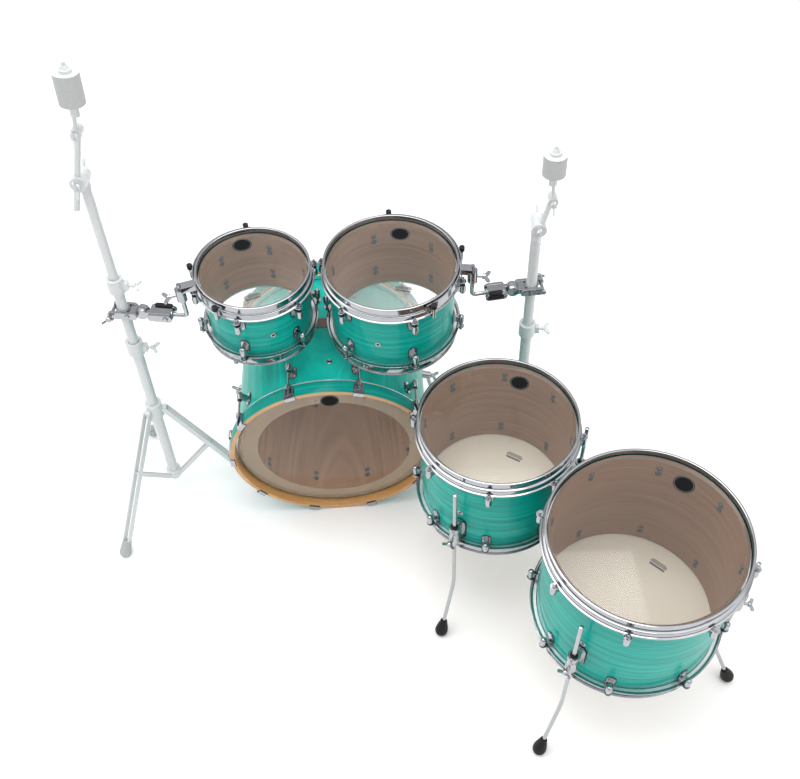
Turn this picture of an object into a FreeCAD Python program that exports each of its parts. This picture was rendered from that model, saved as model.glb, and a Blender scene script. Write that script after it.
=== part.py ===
import FreeCAD, Part
import math
import os

# Acoustic drum kit: bass drum, two rack toms hung from cymbal stands, two floor toms.
# Millimetres. X to the right, Y away from the drummer, Z up, floor at Z = 0.

V = FreeCAD.Vector

# ---- layout: floor datum that becomes the origin, then positions relative to the plan datum ----
PLAN_CENTRE = (-54.7, 1300.1)

INCH = 25.4
TOM10_RADIUS = 10 * INCH / 2
TOM12_RADIUS = 12 * INCH / 2
FLOOR14_RADIUS = 14 * INCH / 2
FLOOR16_RADIUS = 16 * INCH / 2
BASS_RADIUS = 20 * INCH / 2

TOM10_TOP = (-395.0, 1597.0, 786.0)
TOM12_TOP = (-69.0, 1598.0, 792.0)
FLOOR14_TOP = (168.0, 1269.0, 600.0)
FLOOR16_TOP = (449.0, 946.0, 618.0)
TOM10_AXIS = (0.040, -0.060, 0.997)
TOM12_AXIS = (0.015, -0.053, 0.998)
UPRIGHT = (0.0, 0.0, 1.0)

# rim-to-rim depths
TOM10_DEPTH = 203.0
TOM12_DEPTH = 230.0
FLOOR14_DEPTH = 294.0
FLOOR16_DEPTH = 343.0

# first lug angle round each drum, counted from +X seen from above
TOM10_LUG_START = 19.0
TOM12_LUG_START = 48.0
FLOOR14_LUG_START = 35.0
FLOOR16_LUG_START = 26.0
SMALL_LUGS = 6
LARGE_LUGS = 8
SMALL_LUG_DROP = 61.0
LARGE_LUG_DROP = 54.0

# shells and heads
TOM_WALL = 6.5
BEARING_DROP = 13.0
BEVEL = 2.0
FILM = 0.3
FLESH_TOP = 25.0
FLESH_BOTTOM = 32.5
FLESH_WIDTH = 8.5

# tom hoops: radial offsets from the shell, heights below the rim
HOOP_WALL_IN = 3.2
HOOP_WALL_OUT = 5.6
HOOP_ROLL_OUT = 9.0
HOOP_SKIRT_OUT = 11.4
HOOP_FLANGE_OUT = 16.0
HOOP_SHEET = 2.4
HOOP_STEP = 22.6
HOOP_HEIGHT = 38.0
EAR_RADIUS = 8.5
ROD_OFFSET = 20.0
ROD_RADIUS = 2.9
EAR_HOLE_RADIUS = 3.4

# bass drum
BASS_HOOP_OUT = 273.0
BASS_HOOP_IN = 261.0
BASS_HOOP_WIDTH = 38.0
BASS_TOTAL = 452.0
BASS_WALL = 8.0
BASS_FILM_DROP = 22.0
BASS_TILT = 2.87
BASS_YAW = 3.1
BASS_X = -244.0
BASS_Y = 1421.0
BASS_LUGS = 10
BASS_LUG_START = 18.0
BASS_ROD_RADIUS_POS = 280.0
BASS_LUG_DROP = 92.0
SPUR_ANGLE = 108.0
SPUR_DROP = 326.0
SPUR_PIVOT_RADIUS = 287.0
SPUR_ROD_RADIUS = 6.0
SPUR_SPLAY = 22.0

# floor tom legs
LEG_RADIUS = 4.75
LEG_OFFSET = 30.0
LEG_FOOT_OFFSET = 95.0
LEG_TOP = 556.0
LEG_BEND = 165.0
LEG_BRACKET_Z = 396.0
LEG_BRACKET_HEIGHT = 60.0
LEG_GAP = 0.05
FOOT_RADIUS = 16.5
FOOT_CENTRE = 15.0
FLOOR14_LEG_ANGLES = (239.2, 359.2, 110.2)
FLOOR16_LEG_ANGLES = (228.8, 348.8, 108.8)

# stands
LEFT_BASE = (-738.5, 1524.4)
LEFT_LEAN = (2.0, 2.5)
RIGHT_BASE = (266.0, 1590.0)
RIGHT_LEAN = (0.0, 0.0)
BASE_TUBE_OUT, BASE_TUBE_IN = 14.3, 13.0
MID_TUBE_OUT, MID_TUBE_IN = 12.7, 11.4
TOP_TUBE_OUT, TOP_TUBE_IN = 11.1, 9.6
TUBE_START = 58.0
HUB_HEIGHT = 350.0
TRIPOD_RADIUS = 250.0
STRUT_LOW = 82.0
STRUT_JOIN = 0.42
LEFT_LEG_ANGLES = (240.0, 120.0, 0.0)
RIGHT_LEG_ANGLES = (60.0, 180.0, 300.0)
LEFT_COLLARS = (593.0, 792.0)
RIGHT_COLLAR = 578.0
LEFT_CLAMP = 697.0
RIGHT_CLAMP = 703.0
BOOM_SIDE = 26.0
BOOM_RADIUS = 6.35
# boom pivot height, then (sideways, height) of the boom's tail, tilter, sleeve foot and rod tip
LEFT_BOOM = (1068.0, (-22.0, 1003.0), (31.0, 1189.0), (42.0, 1254.0), (46.5, 1336.0))
RIGHT_BOOM = (900.0, (-4.0, 868.0), (22.0, 983.0), (17.0, 1054.0), (16.5, 1121.0))
SLEEVE_RADIUS = 25.0

# tom holders
LEFT_ROD_AT = (-561.0, 1539.0)
RIGHT_ROD_AT = (122.0, 1576.0)
LEFT_ROD_BEND = 688.0
RIGHT_ROD_BEND = 696.0
HOLDER_ROD_RADIUS = 5.25
HOLDER_ROD_TOP = 788.0
HOLDER_MOUNT_Z = 757.0
RATCHET_REACH = 46.0

NODES = {}


def add(node, *shapes):
    NODES.setdefault(node, []).extend(shapes)


def at(x, y, z):
    """Plan position to model position."""
    return V(x - PLAN_CENTRE[0], y - PLAN_CENTRE[1], z)


def unit(vector):
    return V(vector).normalize()


def axes_placement(origin, z_axis, x_hint=None):
    """Placement whose local Z lies along z_axis and local X close to x_hint."""
    z = unit(z_axis)
    hint = V(x_hint) if x_hint is not None else V(1, 0, 0)
    x = unit(hint - z * hint.dot(z))
    y = z.cross(x)
    matrix = FreeCAD.Matrix(x.x, y.x, z.x, origin.x, x.y, y.y, z.y, origin.y,
                            x.z, y.z, z.z, origin.z, 0, 0, 0, 1)
    return FreeCAD.Placement(matrix)


def placed(shape, placement):
    result = shape.copy()
    result.Placement = placement.multiply(result.Placement)
    return result


def turned(shape, degrees):
    return placed(shape, FreeCAD.Placement(V(), FreeCAD.Rotation(V(0, 0, 1), degrees)))


def revolve(profile):
    """Solid of revolution about Z from a closed list of (radius, height) points."""
    points = [V(r, 0, z) for r, z in profile]
    face = Part.Face(Part.makePolygon(points + points[:1]))
    return face.revolve(V(), V(0, 0, 1), 360)


def mirrored_profile(profile, depth):
    return [(r, -depth - z) for r, z in profile]


def cylinder(radius, start, end):
    start, end = V(start), V(end)
    return Part.makeCylinder(radius, (end - start).Length, start, end - start)


def cone(radius_1, radius_2, start, end):
    start, end = V(start), V(end)
    return Part.makeCone(radius_1, radius_2, (end - start).Length, start, end - start)


def pipe(outer, inner, start, end):
    return cylinder(outer, start, end).cut(cylinder(inner, start, end))


def block(x0, x1, y0, y1, z0, z1):
    return Part.makeBox(x1 - x0, y1 - y0, z1 - z0, V(x0, y0, z0))


def fuse(shapes):
    """One solid out of touching or overlapping shapes."""
    result = shapes[0].multiFuse(shapes[1:]) if len(shapes) > 1 else shapes[0]
    return result.removeSplitter()


def stadium(length, width, thickness):
    """Plate with round ends: length along Z, width along Y, from X = 0 outwards."""
    half = length / 2 - width / 2
    ends = [cylinder(width / 2, V(0, 0, s * half), V(thickness, 0, s * half)) for s in (1, -1)]
    return fuse([block(0, thickness, -width / 2, width / 2, -half, half)] + ends)


def strip(start, end, width, thickness, side):
    """Flat bar with round ends from start to end, width across, thickness along side."""
    start, end = V(start), V(end)
    along = end - start
    frame = axes_placement(start, along, side)
    bar = fuse([block(-thickness / 2, thickness / 2, -width / 2, width / 2, 0, along.Length)]
               + [cylinder(width / 2, V(-thickness / 2, 0, z), V(thickness / 2, 0, z))
                  for z in (0, along.Length)])
    return placed(bar, frame)


def wing_bolt(stem, span=30.0, radius=4.0):
    """Bolt along +X with two flat wings at its outer end."""
    head = stem + 8
    wings = [strip(V(head - 2, 0, 0), V(head + 7, s * span / 2, 0), 9, 3.4, V(0, 0, 1)) for s in (1, -1)]
    return fuse([cylinder(radius, V(0, 0, 0), V(stem, 0, 0)),
                 cylinder(radius + 2.5, V(stem, 0, 0), V(head, 0, 0))] + wings)


# ---------------------------------------------------------------- drums

def shell(radius, wall, top, bottom):
    """Cylinder from top down to bottom with an inner bevel at both edges."""
    inner = radius - wall
    edge = wall - BEVEL
    return revolve([(radius, top), (radius, bottom), (radius - BEVEL, bottom),
                    (inner, bottom + edge), (inner, top - edge), (radius - BEVEL, top)])


def head_profile(radius):
    return [(0, -BEARING_DROP + FILM), (radius + 0.9, -BEARING_DROP + FILM), (radius + 0.9, -FLESH_TOP),
            (radius + FLESH_WIDTH, -FLESH_TOP), (radius + FLESH_WIDTH, -FLESH_BOTTOM),
            (radius + 0.3, -FLESH_BOTTOM), (radius + 0.3, -BEARING_DROP), (0, -BEARING_DROP)]


def hoop_profile(radius):
    r = radius
    return [(r + HOOP_WALL_IN, 0), (r + HOOP_ROLL_OUT, 0), (r + HOOP_ROLL_OUT, -HOOP_SHEET),
            (r + HOOP_WALL_OUT, -HOOP_SHEET), (r + HOOP_WALL_OUT, -HOOP_STEP),
            (r + HOOP_SKIRT_OUT, -HOOP_STEP), (r + HOOP_SKIRT_OUT, HOOP_SHEET - HOOP_HEIGHT),
            (r + HOOP_FLANGE_OUT, HOOP_SHEET - HOOP_HEIGHT), (r + HOOP_FLANGE_OUT, -HOOP_HEIGHT),
            (r + HOOP_ROLL_OUT, -HOOP_HEIGHT), (r + HOOP_ROLL_OUT, -FLESH_TOP),
            (r + HOOP_WALL_IN, -FLESH_TOP)]


def hoop(radius, angles):
    """Triple-flanged hoop with one drilled ear for each tension rod."""
    place = V(radius + ROD_OFFSET, 0, 0)
    low, high = V(0, 0, -HOOP_HEIGHT), V(0, 0, HOOP_SHEET - HOOP_HEIGHT)
    neck = block(radius + HOOP_FLANGE_OUT - 1.5, radius + ROD_OFFSET, -EAR_RADIUS, EAR_RADIUS, low.z, high.z)
    ear = fuse([cylinder(EAR_RADIUS, place + low, place + high), neck])
    hole = cylinder(EAR_HOLE_RADIUS, place + low - V(0, 0, 1), place + high + V(0, 0, 1))
    ring = fuse([revolve(hoop_profile(radius))] + [turned(ear, a) for a in angles])
    return ring.cut(Part.makeCompound([turned(hole, a) for a in angles]))


def upside_down(shape, depth):
    """The same part on the other end of a drum of this depth."""
    return placed(shape, FreeCAD.Placement(V(0, 0, -depth), FreeCAD.Rotation(V(1, 0, 0), 180)))


def lug(radius, reach, barrel, length):
    """Shell lug: oval base, post, and a drilled barrel whose mouth points along +Z."""
    base = placed(stadium(length + 8, 20, 6), FreeCAD.Placement(V(radius - 2, 0, -2), FreeCAD.Rotation()))
    post = block(radius + 1, radius + reach, -5, 5, -length / 3, length / 4)
    body = cylinder(barrel, V(radius + reach, 0, -length / 2 + barrel), V(radius + reach, 0, length / 2))
    dome = Part.makeSphere(barrel, V(radius + reach, 0, -length / 2 + barrel))
    bore = cylinder(ROD_RADIUS + 0.05, V(radius + reach, 0, length / 2 - 13), V(radius + reach, 0, length / 2 + 1))
    return fuse([base, post, body, dome]).cut(bore).cut(cylinder(radius + 0.02, V(0, 0, -60), V(0, 0, 60)))


def tension_rod(position, seat, tip, washer=6.8):
    """Square-headed rod at this radius: washer on the seat, threaded end at the tip height."""
    x = V(position, 0, 0)
    up = 1 if seat > tip else -1
    square = block(position - 3, position + 3, -3, 3, min(seat + up * 4, seat + up * 10),
                   max(seat + up * 4, seat + up * 10))
    return fuse([cylinder(ROD_RADIUS, x + V(0, 0, tip), x + V(0, 0, seat)),
                 cylinder(washer, x + V(0, 0, seat), x + V(0, 0, seat + up * 1.6)),
                 cylinder(5.2, x + V(0, 0, seat + up * 1.6), x + V(0, 0, seat + up * 4)), square])


def vent(radius, height, angle):
    """Eyelet through the shell wall."""
    outer = pipe(7.5, 3.0, V(radius + 0.02, 0, height), V(radius + 2.5, 0, height))
    return turned(outer.cut(cylinder(radius + 0.02, V(0, 0, height - 20), V(0, 0, height + 20))), angle)


def drum_frame(top, axis):
    return axes_placement(at(*top), V(*axis), V(1, 0, 0))


def build_tom(frame, radius, depth, lugs, lug_start, lug_drop, names, vent_at):
    """Shell, hoops, heads, lugs, rods and vent of one tom; names maps piece kind to node."""
    angles = [lug_start + 360.0 / lugs * i for i in range(lugs)]
    put = lambda kind, *shapes: add(names[kind], *[placed(s, frame) for s in shapes])
    put("shell", shell(radius, TOM_WALL, -BEARING_DROP, -depth + BEARING_DROP))
    put("top_head", revolve(head_profile(radius)))
    put("bottom_head", revolve(mirrored_profile(head_profile(radius), depth)))
    upper_hoop = hoop(radius, angles)
    lower_hoop = upside_down(hoop(radius, [-a for a in angles]), depth)
    put("hoops", upper_hoop, lower_hoop)
    one_lug = lug(radius, ROD_OFFSET, 7.6, 30)
    seat = HOOP_SHEET - HOOP_HEIGHT
    for angle in angles:
        high = placed(one_lug, FreeCAD.Placement(V(0, 0, -lug_drop), FreeCAD.Rotation()))
        low = upside_down(high, depth)
        rod = tension_rod(radius + ROD_OFFSET, seat, -lug_drop + 3)
        put("lugs", turned(high, angle), turned(low, angle))
        put("rods", turned(rod, angle), turned(upside_down(rod, depth), angle))
    put("vent", vent(radius, vent_at[1], vent_at[0]))


def names_for(prefix, shared_heads, **extra):
    names = {kind: prefix + "_" + kind for kind in ("shell", "hoops")}
    names["top_head"] = prefix + ("_heads" if shared_heads else "_batter_head")
    names["bottom_head"] = prefix + ("_heads" if shared_heads else "_bottom_head")
    names.update(extra)
    return names


# ---------------------------------------------------------------- bass drum

def bass_frame():
    """Local Z along the drum towards the batter side, local X to the right, local Y up."""
    yaw, tilt = math.radians(BASS_YAW), math.radians(BASS_TILT)
    axis = V(math.sin(yaw) * math.cos(tilt), -math.cos(yaw) * math.cos(tilt), -math.sin(tilt))
    return axes_placement(at(BASS_X, BASS_Y, BASS_HOOP_OUT * math.cos(tilt)), axis, V(1, 0, 0))


def bass_head():
    r, z = BASS_RADIUS, -BASS_FILM_DROP
    return revolve([(0, z), (r + 1.6, z), (r + 1.6, -BASS_HOOP_WIDTH), (BASS_HOOP_IN + 7, -BASS_HOOP_WIDTH),
                    (BASS_HOOP_IN + 7, -BASS_HOOP_WIDTH - 7), (r + 1.0, -BASS_HOOP_WIDTH - 7),
                    (r + 1.0, z - 0.4), (0, z - 0.4)])


def bass_claw():
    """Claw hooked over the hoop's front edge, with an ear for the rod; local +X is outwards."""
    reach = BASS_ROD_RADIUS_POS
    out = BASS_HOOP_OUT
    hook = block(BASS_HOOP_IN + 3, out + 3.2, -8, 8, 0, 3)
    back = block(out, out + 3.2, -9, 9, -36, 3)
    ear = fuse([cylinder(6.4, V(reach, 0, -36), V(reach, 0, -26)), block(out, reach, -6.4, 6.4, -36, -26)])
    hole = cylinder(EAR_HOLE_RADIUS, V(reach, 0, -40), V(reach, 0, -20))
    relief = cylinder(5.7, V(reach, 0, -26), V(reach, 0, -14))
    claw = fuse([hook, back, ear]).cut(hole).cut(relief)
    return claw.cut(pipe(out, BASS_HOOP_IN - 4, V(0, 0, -60), V(0, 0, 0)))


def bass_end(shape, front):
    """A batter-side part as it is, or the same part moved to the front side."""
    return placed(shape, FreeCAD.Placement(V(0, 0, -BASS_TOTAL), FreeCAD.Rotation(V(0, 1, 0), 180))) \
        if front else shape


def build_bass():
    frame = bass_frame()
    put = lambda node, *shapes: add(node, *[placed(s, frame) for s in shapes])
    edge = BASS_FILM_DROP + 0.4
    put("bass_shell", shell(BASS_RADIUS, BASS_WALL, -edge, -BASS_TOTAL + edge))
    ring = pipe(BASS_HOOP_OUT, BASS_HOOP_IN, V(0, 0, -BASS_HOOP_WIDTH), V(0, 0, 0))
    put("bass_hoops", ring, bass_end(ring, True))
    put("bass_batter_head", bass_head())
    put("bass_front_head", bass_end(bass_head(), True))
    one_lug = placed(lug(BASS_RADIUS, BASS_ROD_RADIUS_POS - BASS_RADIUS, 6.0, 34),
                     FreeCAD.Placement(V(0, 0, -BASS_LUG_DROP), FreeCAD.Rotation()))
    rod = tension_rod(BASS_ROD_RADIUS_POS, -26, -BASS_LUG_DROP + 6, 5.4)
    for index in range(BASS_LUGS):
        angle = 90 - BASS_LUG_START - 360.0 / BASS_LUGS * index
        for front in (False, True):
            put("bass_lugs", bass_end(turned(one_lug, angle), front))
            put("bass_claws", bass_end(turned(bass_claw(), angle), front))
            put("bass_tension_rods", bass_end(turned(rod, angle), front))
    put("shell_vents", vent(BASS_RADIUS, -112, 87))
    badge = block(BASS_RADIUS - 4, BASS_RADIUS + 1.4, -22, 22, -262, -228)
    badge = badge.common(pipe(BASS_RADIUS + 1.4, BASS_RADIUS + 0.02, V(0, 0, -300), V(0, 0, -200)))
    put("bass_badge", turned(badge, 90))
    for side, sign in (("left", -1), ("right", 1)):
        build_spur(frame, side, sign)


def build_spur(frame, side, sign):
    """Shell bracket and swinging spur; the spur turns about the bracket's radial bolt."""
    angle = 90 - sign * SPUR_ANGLE
    plate = placed(stadium(54, 34, 8), FreeCAD.Placement(V(BASS_RADIUS - 4, 0, -SPUR_DROP), FreeCAD.Rotation()))
    post = cylinder(12, V(BASS_RADIUS + 2, 0, -SPUR_DROP), V(SPUR_PIVOT_RADIUS - 11, 0, -SPUR_DROP))
    bracket = fuse([plate, post]).cut(cylinder(BASS_RADIUS + 0.02, V(0, 0, -400), V(0, 0, -250)))
    bracket = bracket.cut(cylinder(4.05, V(SPUR_PIVOT_RADIUS - 17, 0, -SPUR_DROP),
                                   V(SPUR_PIVOT_RADIUS, 0, -SPUR_DROP)))
    add("bass_spur_brackets", placed(turned(bracket, angle), frame))
    pivot = frame.multVec(FreeCAD.Rotation(V(0, 0, 1), angle).multVec(V(SPUR_PIVOT_RADIUS, 0, -SPUR_DROP)))
    outward = frame.Rotation.multVec(FreeCAD.Rotation(V(0, 0, 1), angle).multVec(V(1, 0, 0)))
    foot = V(pivot.x + sign * 24, pivot.y + 58, SPUR_ROD_RADIUS + 5)
    eye = cylinder(11, pivot - outward * 10.7, pivot + outward * 8)
    bolt = cylinder(4.0, pivot - outward * 16, pivot)
    rod = cylinder(SPUR_ROD_RADIUS, pivot, foot)
    tip = Part.makeSphere(SPUR_ROD_RADIUS + 5, foot)
    cap = cylinder(SPUR_ROD_RADIUS + 3, foot, foot + (pivot - foot).normalize() * 24)
    wing = placed(wing_bolt(4, 26), axes_placement(pivot + outward * 8, V(0, 0, 1).cross(outward), outward))
    add("bass_spur_" + side, fuse([eye, bolt, rod, tip, cap, wing]))


# ---------------------------------------------------------------- floor tom legs

def build_floor_legs(prefix, top, radius, angles):
    """Three bent legs in shell brackets with wing bolts."""
    bracket_z = LEG_BRACKET_Z
    for name, angle in zip(("front", "right", "rear"), angles):
        frame = FreeCAD.Placement(at(top[0], top[1], 0), FreeCAD.Rotation(V(0, 0, 1), angle))
        x = radius + LEG_OFFSET
        half = LEG_BRACKET_HEIGHT / 2
        body = block(radius - 2, x, -11, 11, bracket_z - half, bracket_z + half)
        eye = cylinder(13, V(x, 0, bracket_z - half), V(x, 0, bracket_z + half))
        plate = placed(stadium(76, 30, 6), FreeCAD.Placement(V(radius - 2, 0, bracket_z - 14), FreeCAD.Rotation()))
        bore = cylinder(LEG_RADIUS + LEG_GAP, V(x, 0, bracket_z - 60), V(x, 0, bracket_z + 60))
        bolt_hole = cylinder(4.0, V(x + 6, 0, bracket_z - 12), V(x + 20, 0, bracket_z - 12))
        keep_off = cylinder(radius + 0.02, V(0, 0, bracket_z - 80), V(0, 0, bracket_z + 80))
        bracket = fuse([body, eye, plate]).cut(bore).cut(bolt_hole).cut(keep_off)
        add("floor_tom_leg_brackets", placed(bracket, frame))
        bolt = placed(wing_bolt(16, 32, 3.9), FreeCAD.Placement(V(x + 6, 0, bracket_z - 12), FreeCAD.Rotation()))
        add("floor_tom_wing_bolts", placed(bolt, frame))
        bend = V(x, 0, LEG_BEND)
        foot = V(radius + LEG_FOOT_OFFSET, 0, FOOT_CENTRE)
        up = (bend - foot).normalize()
        floor_cut = block(foot.x - 60, foot.x + 60, -60, 60, -60, 0)
        rubber = fuse([Part.makeSphere(FOOT_RADIUS, foot),
                       cone(FOOT_RADIUS * 0.93, 8.5, foot + up * 6, foot + up * 34)]).cut(floor_cut)
        leg = fuse([cylinder(LEG_RADIUS, V(x, 0, LEG_TOP), bend), Part.makeSphere(LEG_RADIUS, bend),
                    cylinder(LEG_RADIUS, bend, foot + up * 10), rubber])
        add("%s_leg_%s" % (prefix, name), placed(leg, frame))


# ---------------------------------------------------------------- stands

def lean_frame(base, lean):
    """Local Z up the tube; origin where the tube line meets the floor."""
    axis = V(math.tan(math.radians(lean[0])), math.tan(math.radians(lean[1])), 1)
    return axes_placement(at(base[0], base[1], 0), axis, V(1, 0, 0))


def collar(height, tube_out):
    """Height-adjuster collar on a tube end, with a wing bolt towards +X."""
    ring = pipe(tube_out + 7, tube_out + 0.02, V(0, 0, height - 34), V(0, 0, height))
    lip = pipe(tube_out + 7, MID_TUBE_OUT + 0.9 if tube_out > 13 else TOP_TUBE_OUT + 0.9,
               V(0, 0, height), V(0, 0, height + 4))
    boss = block(tube_out + 3, tube_out + 16, -8, 8, height - 28, height - 8)
    boss = boss.cut(cylinder(tube_out + 5, V(0, 0, height - 40), V(0, 0, height + 5)))
    bolt = placed(wing_bolt(10, 30, 3.5), FreeCAD.Placement(V(tube_out + 14, 0, height - 18), FreeCAD.Rotation()))
    return fuse([ring, lip, boss, bolt])


def build_tripod(base, lean, collar_height, angles):
    """Base tube, hub, three double-strip legs, struts and rubber feet."""
    frame = lean_frame(base, lean)
    local = frame.inverse()
    put = lambda node, *shapes: add(node, *[placed(shape, frame) for shape in shapes])
    put("stand_base_tubes", pipe(BASE_TUBE_OUT, BASE_TUBE_IN, V(0, 0, TUBE_START), V(0, 0, collar_height)))
    hub = [pipe(BASE_TUBE_OUT + 8, BASE_TUBE_OUT + 0.02, V(0, 0, HUB_HEIGHT - 22), V(0, 0, HUB_HEIGHT + 22))]
    ring = [pipe(BASE_TUBE_OUT + 6, BASE_TUBE_OUT + 0.02, V(0, 0, STRUT_LOW - 14), V(0, 0, STRUT_LOW + 10))]
    for angle in angles:
        ray = V(math.cos(math.radians(angle)), math.sin(math.radians(angle)), 0)
        side = V(-ray.y, ray.x, 0)
        start = ray * (BASE_TUBE_OUT + 13.5) + V(0, 0, HUB_HEIGHT)
        foot = local.multVec(at(base[0] + 6 * lean[0], base[1] - 3.6 * lean[1], 14) + ray * TRIPOD_RADIUS)
        join = start + (foot - start) * STRUT_JOIN
        low = ray * (BASE_TUBE_OUT + 10) + V(0, 0, STRUT_LOW)
        leg = fuse([strip(start + side * s * 8.2, foot + side * s * 8.2, 15, 3, side) for s in (1, -1)]
                   + [cylinder(4, start - side * 9.7, start + side * 9.7),
                      cylinder(3.4, join - side * 9.7, join + side * 9.7)])
        strut = fuse([strip(low + side * s * 4.9, join + side * s * 4.9, 11, 2.6, side) for s in (1, -1)]
                     + [cylinder(3.2, low - side * 6.2, low + side * 6.2)]).cut(leg)
        put("stand_tripod_legs", leg)
        put("stand_tripod_struts", strut)
        add("stand_tripod_feet", stand_foot(frame.multVec(foot), frame.multVec(start)).cut(placed(leg, frame)))
        ear = block(BASE_TUBE_OUT + 6, BASE_TUBE_OUT + 19, -6.5, 6.5, HUB_HEIGHT - 8, HUB_HEIGHT + 8)
        hub.append(turned(ear, angle).cut(leg))
        tab = block(BASE_TUBE_OUT + 4, BASE_TUBE_OUT + 15, -3.5, 3.5, STRUT_LOW - 6, STRUT_LOW + 8)
        ring.append(turned(tab, angle).cut(strut))
    put("stand_tripod_legs", fuse(hub))
    put("stand_tripod_struts", fuse(ring))


def stand_foot(low, high):
    """Rubber shoe round a leg's lower end, flat on the floor."""
    up = (high - low).normalize()
    shoe = fuse([Part.makeSphere(16, low), cone(15.6, 12.2, low + up * 4, low + up * 34)])
    return shoe.cut(block(low.x - 40, low.x + 40, low.y - 40, low.y + 40, -40, 0))


def build_stand_tubes(side, base, lean, collars, boom_height):
    """Sliding tubes above the base: the last one carries the fixed half of the boom joint."""
    frame = lean_frame(base, lean)
    put = lambda node, *shapes: add(node, *[placed(shape, frame) for shape in shapes])
    put("stand_base_tubes", collar(collars[0], BASE_TUBE_OUT))
    outer, inner, low = MID_TUBE_OUT, MID_TUBE_IN, collars[0] - 175
    if len(collars) == 2:
        mid = "stand_%s_middle_tube" % side
        put(mid, pipe(outer, inner, V(0, 0, low), V(0, 0, collars[1])), collar(collars[1], outer))
        outer, inner, low = TOP_TUBE_OUT, TOP_TUBE_IN, collars[1] - 155
    top = pipe(outer, inner, V(0, 0, low), V(0, 0, boom_height - 12))
    plug = cylinder(outer + 2, V(0, 0, boom_height - 26), V(0, 0, boom_height - 10))
    lug_disc = cylinder(17, V(0, -12, boom_height), V(0, 13, boom_height))
    nut = placed(wing_bolt(6, 34, 5), axes_placement(V(0, 13, boom_height), V(1, 0, 0), V(0, 1, 0)))
    bore = cylinder(4.1, V(0, -13, boom_height), V(0, 2, boom_height))
    boom_room = block(-20, 20, -40, -12.1, boom_height - 17.6, boom_height + 20)
    put("stand_%s_upper_tube" % side, fuse([top, plug, lug_disc, nut]).cut(bore).cut(boom_room))


def build_boom(side, base, lean, boom):
    """Boom arm on the ratchet, and the cymbal tilter with its rod, sleeve and wing nut."""
    height, tail, tilt, sleeve, tip = boom
    frame = lean_frame(base, lean)
    point = lambda pair, y: V(pair[0], y, pair[1])
    y = -BOOM_SIDE
    disc = cylinder(17, V(0, y - 9, height), V(0, -12.4, height))
    pin = cylinder(4.0, V(0, -12.4, height), V(0, 0, height))
    nut = placed(wing_bolt(5, 32, 4.5), axes_placement(V(0, y - 9, height), V(1, 0, 0), V(0, -1, 0)))
    arm = cylinder(BOOM_RADIUS, point(tail, y), point(tilt, y))
    end = cylinder(11, point(tilt, y - 8), point(tilt, y + 8))
    hole = cylinder(3.1, point(tilt, y - 9), point(tilt, y))
    boom_arm = fuse([disc, pin, nut, arm, end]).cut(hole)
    add("stand_%s_boom" % side, placed(boom_arm, frame))
    front = y - 8.4
    base_disc = cylinder(11, point(tilt, front - 11), point(tilt, front))
    screw = cylinder(3.0, point(tilt, front), point(tilt, front + 7))
    wing = placed(wing_bolt(4, 26, 4), axes_placement(point(tilt, front - 11), V(1, 0, 0), V(0, -1, 0)))
    centre = front - 5.5
    foot, end = point(sleeve, centre), point(tip, centre)
    up = (end - foot).normalize()
    top = end - up * 14
    stem = fuse([cylinder(4.0, point(tilt, centre), foot), cylinder(4.0, foot, end)])
    neck = cylinder(9, foot - up * 26, foot)
    felt = cylinder(SLEEVE_RADIUS, foot, top - up * 6)
    nut = fuse([cylinder(12, top - up * 6, top), cone(9, 6, top, top + up * 7)])
    tilter = fuse([base_disc, screw, wing, stem, neck, felt, nut])
    add("stand_%s_tilter" % side, placed(tilter, frame))


# ---------------------------------------------------------------- tom holders

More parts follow.
